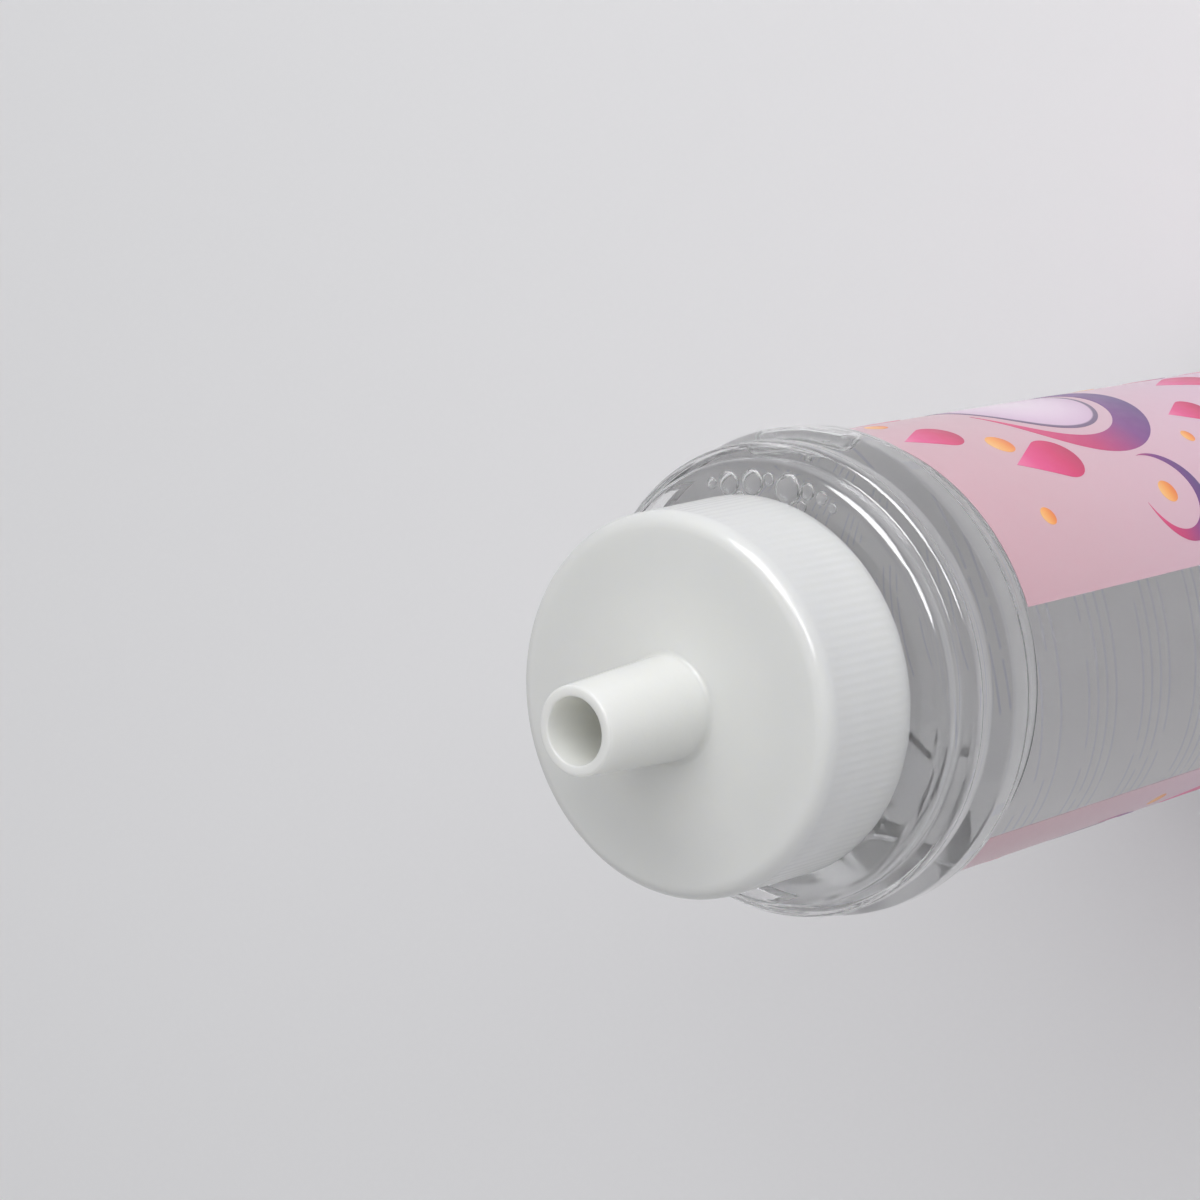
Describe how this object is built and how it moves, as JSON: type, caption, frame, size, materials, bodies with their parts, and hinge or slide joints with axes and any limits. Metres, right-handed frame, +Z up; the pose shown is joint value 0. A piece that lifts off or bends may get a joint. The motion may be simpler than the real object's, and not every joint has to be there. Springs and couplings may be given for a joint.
{
  "type": "lubricant bottle",
  "caption": "Clear round bottle of gel with a ringed shoulder, a pink wrapped film label and a white ribbed screw cap with an open pouring spout.",
  "frame": {"origin": "middle of the plane that the standing ring rests on", "axes": "+Z up the bottle's axis, from the standing ring to the spout; -Y faces the middle of the clear window, within 10 degrees"},
  "size_m": [0.0656, 0.0656, 0.1921],
  "materials": {
    "clear_wall": "clear blown plastic, smooth and glossy",
    "clear_gel": "clear thick gel",
    "label_film": "clear satin film",
    "pink_print": "soft pink print",
    "lilac_print": "pale lilac print",
    "crimson_print": "crimson print",
    "purple_print": "dusk purple print",
    "orange_print": "orange print",
    "foam_ring": "fine closed foam",
    "white_cap": "satin moulded white plastic"
  },
  "bodies": {
    "bottle": {"bottle": "clear_wall", "gel": "clear_gel", "label_film": "label_film", "label_print": "pink_print", "moon_print": "lilac_print", "drop_print": "crimson_print", "ripple_print": "purple_print", "dot_print": "orange_print"},
    "liner": {"liner_ring": "foam_ring"},
    "cap": {"spout_cap": "white_cap"}
  },
  "joints": [
    {"name": "cap_lift", "type": "slide", "parent": "bottle", "child": "liner", "axis": [0, 0, 1], "range_m": [0, 0.00635]},
    {"name": "cap_turn", "type": "hinge", "parent": "liner", "child": "cap", "pos_m": [0, 0, 0.174], "axis": [0, 0, 1], "range_deg": [0, 540]}
  ],
  "couplings": [
    {"joint": "cap_lift", "follows": "cap_turn", "m_per_rad": 0.0006737}
  ]
}
